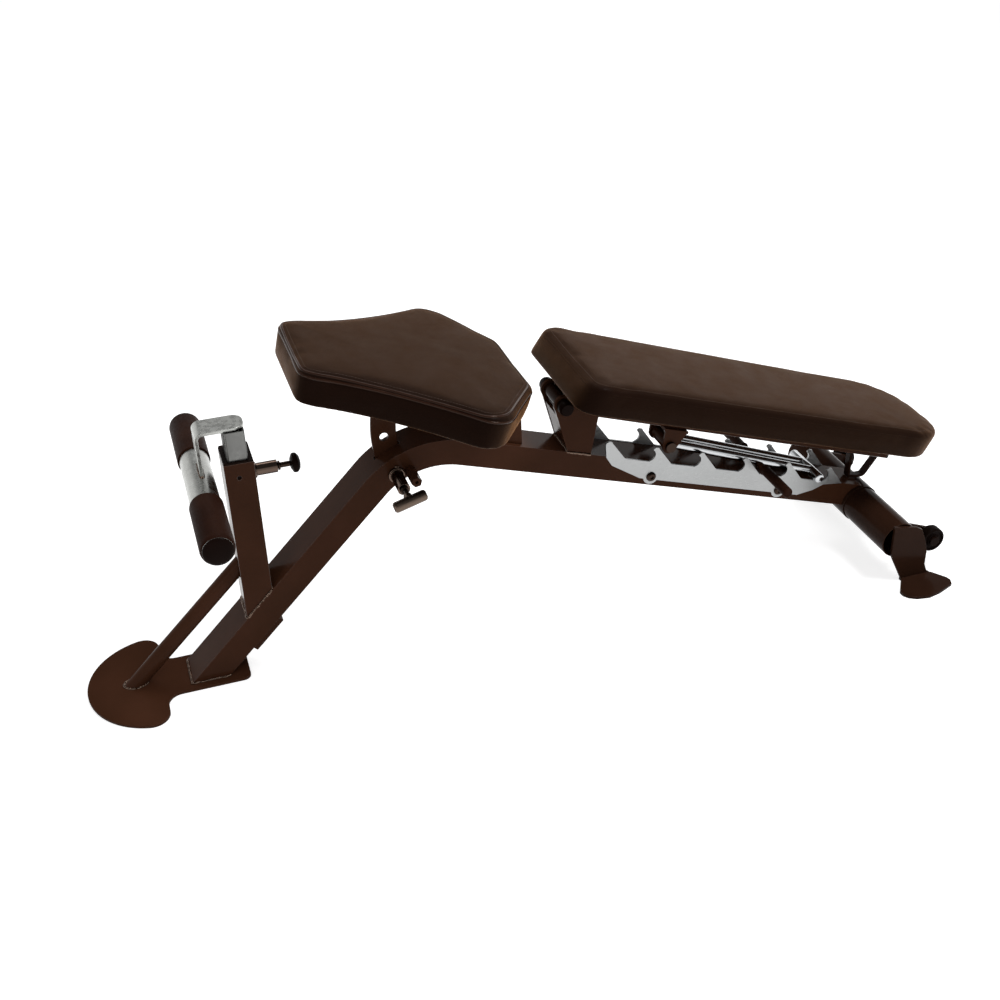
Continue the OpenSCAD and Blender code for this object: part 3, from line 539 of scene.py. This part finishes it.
def tube(name, pts, radius, sides=8, closed=True):
    """A round bead along points, as a mesh."""
    pts = np.asarray(pts)
    n = len(pts)
    if closed:
        t = np.roll(pts, -1, 0) - np.roll(pts, 1, 0)
    else:
        t = np.gradient(pts, axis=0)
    t /= np.linalg.norm(t, axis=1)[:, None]
    up = np.array([0.0, 0, 1])
    a = np.cross(t, up)
    a /= np.linalg.norm(a, axis=1)[:, None]
    b = np.cross(a, t)
    co, faces = [], []
    r = np.broadcast_to(np.asarray(radius, float), (n,))
    for i in range(n):
        for k in range(sides):
            w = 2 * math.pi * k / sides
            co.append(tuple(pts[i] + r[i] * (math.cos(w) * a[i] + math.sin(w) * b[i])))
    for i in range(n if closed else n - 1):
        j = (i + 1) % n
        for k in range(sides):
            m = (k + 1) % sides
            faces.append((i * sides + k, i * sides + m, j * sides + m, j * sides + k))
    if not closed:
        faces.append(tuple(range(sides)))
        faces.append(tuple((n - 1) * sides + k for k in range(sides - 1, -1, -1)))
    me = bpy.data.meshes.new(name)
    me.from_pydata(co, [], faces)
    for p in me.polygons:
        p.use_smooth = True
    o = bpy.data.objects.new(name, me)
    scene.collection.objects.link(o)
    return o


def on_side(bvh, q, z, lift):
    """Points on the pad's side wall at height z, just off the surface."""
    out = []
    nrm = inset(q, -1.0) - q
    for p, n in zip(q, nrm):
        o = Vector((p[0] + n[0] * 0.04, p[1] + n[1] * 0.04, z))
        hit = bvh.ray_cast(o, Vector((-n[0], -n[1], 0)))
        out.append(hit[0] + Vector((n[0], n[1], 0)) * lift if hit[0] else Vector((p[0], p[1], z)))
    return np.array(out)


def on_top(bvh, q, d, hi, lift):
    """Points on the pad's top at a distance d inside its outline."""
    out = []
    for p in inset(q, d):
        hit = bvh.ray_cast(Vector((p[0], p[1], hi + 0.05)), Vector((0, 0, -1)))
        out.append(hit[0] + Vector((0, 0, lift)) if hit[0] else Vector((p[0], p[1], hi)))
    return np.array(out)


def smooth_line(p, n=2):
    for _ in range(n):
        p = 0.25 * np.roll(p, 1, 0) + 0.5 * p + 0.25 * np.roll(p, -1, 0)
    return p


def join(name, objs):
    """One object from several meshes."""
    bm = bmesh.new()
    for o in objs:
        bm.from_mesh(o.data)
    me = bpy.data.meshes.new(name)
    bm.to_mesh(me)
    bm.free()
    for o in objs:
        bpy.data.objects.remove(o)
    for p in me.polygons:
        p.use_smooth = True
    o = bpy.data.objects.new(name, me)
    scene.collection.objects.link(o)
    return o


def stitches(name, line, length, gap, radius):
    """Short threads along a closed line, with their ends sunk in."""
    loop = np.vstack([line, line[:1]])
    d = np.concatenate([[0], np.cumsum(np.linalg.norm(np.diff(loop, axis=0), axis=1))])
    n = int(d[-1] / (length + gap))
    out = []
    for i in range(n):
        s = d[-1] * i / n
        t = np.linspace(s, s + length, 4)
        p = np.column_stack([np.interp(t, d, loop[:, k]) for k in range(3)])
        p[0, 2] -= radius
        p[-1, 2] -= radius
        out.append(tube("s%d" % i, p, radius * np.array([0.6, 1, 1, 0.6]), 5, False))
    return join(name, out)


def finish_pad(o, local, body, node, extras):
    o.data.materials.clear()
    o.data.materials.append(MATS["vinyl"])
    for e, mat in extras:
        e.data.materials.clear()
        e.data.materials.append(MATS[mat])
    for x in [o] + [e for e, _ in extras]:
        x.data.transform(local)
        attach(x, body)
    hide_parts(node)


# (inset, share of the height): tight foot, upright wall, round or tight upper edge
SEAT_PROFILE = [(0.002, 0.0), (0.0005, 0.03), (0.0, 0.08), (0.0, 0.25), (0.0, 0.55),
                (0.0, 0.80), (0.0005, 0.90), (0.003, 0.965), (0.007, 0.992), (0.014, 1.0)]
BACK_PROFILE = [(0.002, 0.0), (0.0005, 0.03), (0.0, 0.08), (0.0, 0.25), (0.0, 0.55),
                (0.0, 0.82), (0.001, 0.92), (0.003, 0.97), (0.007, 0.995), (0.016, 1.0)]

STEP = 0.003       # spacing of the outline's points
SMOOTHING = 4      # rounds of smoothing along a seam
CORD = 0.0028      # radius of the seat's piping
STITCH, STITCH_GAP = 0.0035, 0.0018
CROWN = 0.005      # rise of a pad's middle over its edge
PUFF = 0.0025      # largest movement that the cloth step may give
PRESSURE = 3.5
SEAT_SLOPE, BACK_SLOPE = 14.8, 19  # degrees at rest

seat_local = local_frame(joint_at("seat_tilt"), SEAT_SLOPE)
sq, slo, shi = outline_of("seat_pad", seat_local)
sq = resample(sq, STEP, 10)
seat = pad_mesh("seat_cushion", sq, slo, shi + 0.002, SEAT_PROFILE)
soften(seat, sq, slo, shi, CROWN, PUFF, PRESSURE, (0.001, 0.0035), (0.0005, -0.002, 0.0, 0.009))
bvh = BVHTree.FromObject(seat, bpy.context.evaluated_depsgraph_get())
side = smooth_line(on_side(bvh, sq, shi - 0.0065, -0.0014), SMOOTHING)
top = smooth_line(on_top(bvh, sq, 0.0055, shi, -0.0014), SMOOTHING)
seat_welt = join("seat_welt", [tube("w1", side, CORD), tube("w2", top, CORD)])
seam = smooth_line(on_top(bvh, sq, 0.0118, shi, 0.0002), SMOOTHING)
seat_stitch = stitches("seat_stitches", seam, STITCH, STITCH_GAP, 0.00035)
finish_pad(seat, seat_local, "seat", "seat_pad",
           [(seat_welt, "piping"), (seat_stitch, "thread")])

back_local = local_frame(joint_at("back_recline"), BACK_SLOPE)
bq, blo, bhi = outline_of("back_pad", back_local)
bq = resample(bq, STEP, 2)
back = pad_mesh("back_cushion", bq, blo, bhi + 0.0015, BACK_PROFILE, 1.2)
soften(back, bq, blo, bhi, CROWN, PUFF, PRESSURE, (0.001, 0.0025), (-0.016, -0.002, 0.0, 0.010))
bvh = BVHTree.FromObject(back, bpy.context.evaluated_depsgraph_get())
side = smooth_line(on_side(bvh, bq, bhi - 0.008, -0.0006), SMOOTHING)
back_welt = join("back_seam", [tube("w1", side, 0.0010)])
seam = smooth_line(on_top(bvh, bq, 0.0105, bhi, 0.0002), SMOOTHING)
back_stitch = stitches("back_stitches", seam, STITCH, STITCH_GAP, 0.0003)
finish_pad(back, back_local, "back_rest", "back_pad",
           [(back_welt, "vinyl"), (back_stitch, "thread")])

# ---------------------------------------------------------------- weld beads
def world_mesh(o):
    bm = bmesh.new()
    bm.from_mesh(o.data)
    bm.transform(o.matrix_world)
    bmesh.ops.remove_doubles(bm, verts=bm.verts, dist=1e-5)
    return bm


def weld_points(a, b, step=0.0036):
    """Points along the sharp edges of one node that lie on the other node."""
    ba, bb = world_mesh(nodes[a]), world_mesh(nodes[b])
    tree = BVHTree.FromBMesh(bb)
    out = []
    for e in ba.edges:
        if len(e.link_faces) != 2 or e.calc_face_angle(0) < 0.5:
            continue
        p, r = e.verts[0].co, e.verts[1].co
        if any((tree.find_nearest(c)[3] or 1) > 0.0013 for c in (p, r, (p + r) / 2)):
            continue
        n = max(1, round((r - p).length / step))
        out += [p.lerp(r, (i + 0.5) / n) for i in range(n)]
    ba.free()
    bb.free()
    return out


def girdle(node, z, mid, reach, step=0.0036):
    """Points around a node at one height, from rays cast inward."""
    bm = world_mesh(nodes[node])
    tree = BVHTree.FromBMesh(bm)
    bm.free()
    hits = []
    for a in np.linspace(0, 2 * math.pi, 720, endpoint=False):
        d = Vector((math.cos(a), math.sin(a), 0))
        hit = tree.ray_cast(Vector((*mid, z)) + d * reach, -d, reach)
        if hit[0]:
            hits.append(tuple(hit[0])[:2])
    ring = resample(np.array(hits), step, 0)
    return [Vector((x, y, z)) for x, y in ring]


def beads(name, pairs, body, size, more=()):
    """A row of small overlapping drops along the joints of each pair of nodes."""
    spots = [p for a, b in pairs for p in weld_points(a, b)] + list(more)
    bm = bmesh.new()
    for p in spots:
        k = size * rng.uniform(0.8, 1.2)
        m = Matrix.Translation(p + Vector(rng.uniform(-0.0005, 0.0005, 3)))
        bmesh.ops.create_icosphere(bm, subdivisions=2, radius=k, matrix=m)
    me = bpy.data.meshes.new(name)
    bm.to_mesh(me)
    bm.free()
    for p in me.polygons:
        p.use_smooth = True
    me.materials.append(MATS["weld"])
    o = bpy.data.objects.new(name, me)
    scene.collection.objects.link(o)
    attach(o, body)
    return o


WELD_PAIRS = [
    ("hold_down_post", "main_frame_tube"), ("main_frame_tube", "front_foot_plate"),
    ("foot_brace_tube", "front_foot_plate"), ("seat_pin_barrel", "main_frame_tube"),
    ("post_pin_barrel", "hold_down_post"), ("back_uprights", "main_frame_tube"),
]
FRAME_BEAD, STRAP_BEAD = 0.0028, 0.0022
# the leg's square end stands on the foot plate: a bead runs around it just above the plate
leg_foot = girdle("main_frame_tube", 0.0068, (-0.635, 0), 0.2)
beads("frame_welds", WELD_PAIRS, "frame", FRAME_BEAD, leg_foot)
beads("strap_weld", [("roller_arm_strap", "roller_tube")], "hold_down", STRAP_BEAD)

# ---------------------------------------------------------------- stage, light, camera
floor_me = bpy.data.meshes.new("floor")
floor_me.from_pydata([(-14, -9, 0), (14, -9, 0), (14, 16, 0), (-14, 16, 0)], [], [(0, 1, 2, 3)])
floor = bpy.data.objects.new("floor", floor_me)
scene.collection.objects.link(floor)
fm = Mat("studio_floor")
fcol = fm.ramp(fm.noise(0.6, 2), "Fac", [(0.3, (0.78, 0.78, 0.78)), (0.7, (0.80, 0.80, 0.80))])
fm.link(fcol, "Color", fm.p, "Base Color")
fm.set(Roughness=0.8, Specular_IOR_Level=0.0)


def seen_ray(tree):
    """1 for the rays in which the white ground is seen: camera, glossy and transmission rays."""
    lp = tree.nodes.new("ShaderNodeLightPath")
    first = tree.nodes.new("ShaderNodeMath")
    second = tree.nodes.new("ShaderNodeMath")
    first.operation = second.operation = "MAXIMUM"
    tree.links.new(lp.outputs["Is Camera Ray"], first.inputs[0])
    tree.links.new(lp.outputs["Is Glossy Ray"], first.inputs[1])
    tree.links.new(first.outputs[0], second.inputs[0])
    tree.links.new(lp.outputs["Is Transmission Ray"], second.inputs[1])
    return second.outputs[0]


# the floor is white to the camera and in reflections, and takes the object's shadow
glow = fm.new("ShaderNodeEmission")
glow.inputs["Strength"].default_value = 0.72
lit = fm.new("ShaderNodeAddShader")
fm.link(glow, "Emission", lit, 0)
fm.link(fm.p, "BSDF", lit, 1)
pick = fm.new("ShaderNodeMixShader")
fm.t.links.new(seen_ray(fm.t), pick.inputs[0])
fm.link(fm.p, "BSDF", pick, 1)
fm.link(lit, "Shader", pick, 2)
fm.link(pick, "Shader", fm.out, "Surface")
floor.data.materials.append(fm.m)

world = bpy.data.worlds.new("studio")
scene.world = world
world.use_nodes = True
wt = world.node_tree
wt.nodes.clear()
wo = wt.nodes.new("ShaderNodeOutputWorld")
bg_seen = wt.nodes.new("ShaderNodeBackground")
bg_seen.inputs["Color"].default_value = (1, 1, 1, 1)
bg_seen.inputs["Strength"].default_value = 1.0
bg_lit = wt.nodes.new("ShaderNodeBackground")
bg_lit.inputs["Color"].default_value = (1, 1, 1, 1)
bg_lit.inputs["Strength"].default_value = 0.35
mx = wt.nodes.new("ShaderNodeMixShader")
# reflections show the white ground up to a third of the way up, and a dim ceiling above it
wc = wt.nodes.new("ShaderNodeTexCoord")
wz = wt.nodes.new("ShaderNodeSeparateXYZ")
fade = wt.nodes.new("ShaderNodeMapRange")
fade.interpolation_type = "SMOOTHSTEP"
for k, v in zip(("From Min", "From Max", "To Min", "To Max"), (0.25, 0.55, 1.0, 0.15)):
    fade.inputs[k].default_value = v
wt.links.new(wc.outputs["Generated"], wz.inputs[0])
wt.links.new(wz.outputs["Z"], fade.inputs["Value"])
wt.links.new(fade.outputs["Result"], bg_seen.inputs["Strength"])
wt.links.new(seen_ray(wt), mx.inputs[0])
wt.links.new(bg_lit.outputs[0], mx.inputs[1])
wt.links.new(bg_seen.outputs[0], mx.inputs[2])
wt.links.new(mx.outputs[0], wo.inputs["Surface"])


def area(name, loc, target, size, power):
    """A soft box aimed at a point."""
    d = bpy.data.lights.new(name, "AREA")
    d.shape = "RECTANGLE"
    d.size, d.size_y = size
    d.energy = power
    o = bpy.data.objects.new(name, d)
    o.location = loc
    o.rotation_euler = (Vector(target) - Vector(loc)).to_track_quat("-Z", "Y").to_euler()
    scene.collection.objects.link(o)
    return o


area("key", (1.2, -0.7, 2.7), (0, 0, 0.35), (1.1, 0.8), 45)
area("back", (0.3, 1.5, 3.0), (0, 0, 0.35), (2.4, 1.2), 30)
area("rim", (2.2, 2.4, 1.5), (0.1, 0, 0.4), (1.4, 0.9), 4)
area("front", (-2.6, -1.4, 1.7), (-0.4, 0, 0.3), (0.5, 1.6), 4.5)

# the camera fitted to the photograph
FOCAL = 1.307  # focal length in picture widths
PITCH_DEG, YAW_DEG, ROLL_DEG = 32.3, 17.6, -1.52
cam_d = bpy.data.cameras.new("camera")
cam_d.sensor_width = 36
cam_d.sensor_fit = "HORIZONTAL"
cam_d.lens = cam_d.sensor_width * FOCAL
cam = bpy.data.objects.new("camera", cam_d)
scene.collection.objects.link(cam)
scene.camera = cam
pitch, yaw, roll = (math.radians(a) for a in (PITCH_DEG, YAW_DEG, ROLL_DEG))
cam.location = (-0.6839, -1.997, 1.575)
fwd = Vector((math.sin(yaw) * math.cos(pitch), math.cos(yaw) * math.cos(pitch), -math.sin(pitch)))
q = fwd.to_track_quat("-Z", "Y")
cam.rotation_mode = "QUATERNION"
cam.rotation_quaternion = q @ Matrix.Rotation(roll, 4, "Z").to_quaternion()
scene.view_settings.view_transform = "Standard"
cam_d.clip_start = 0.05
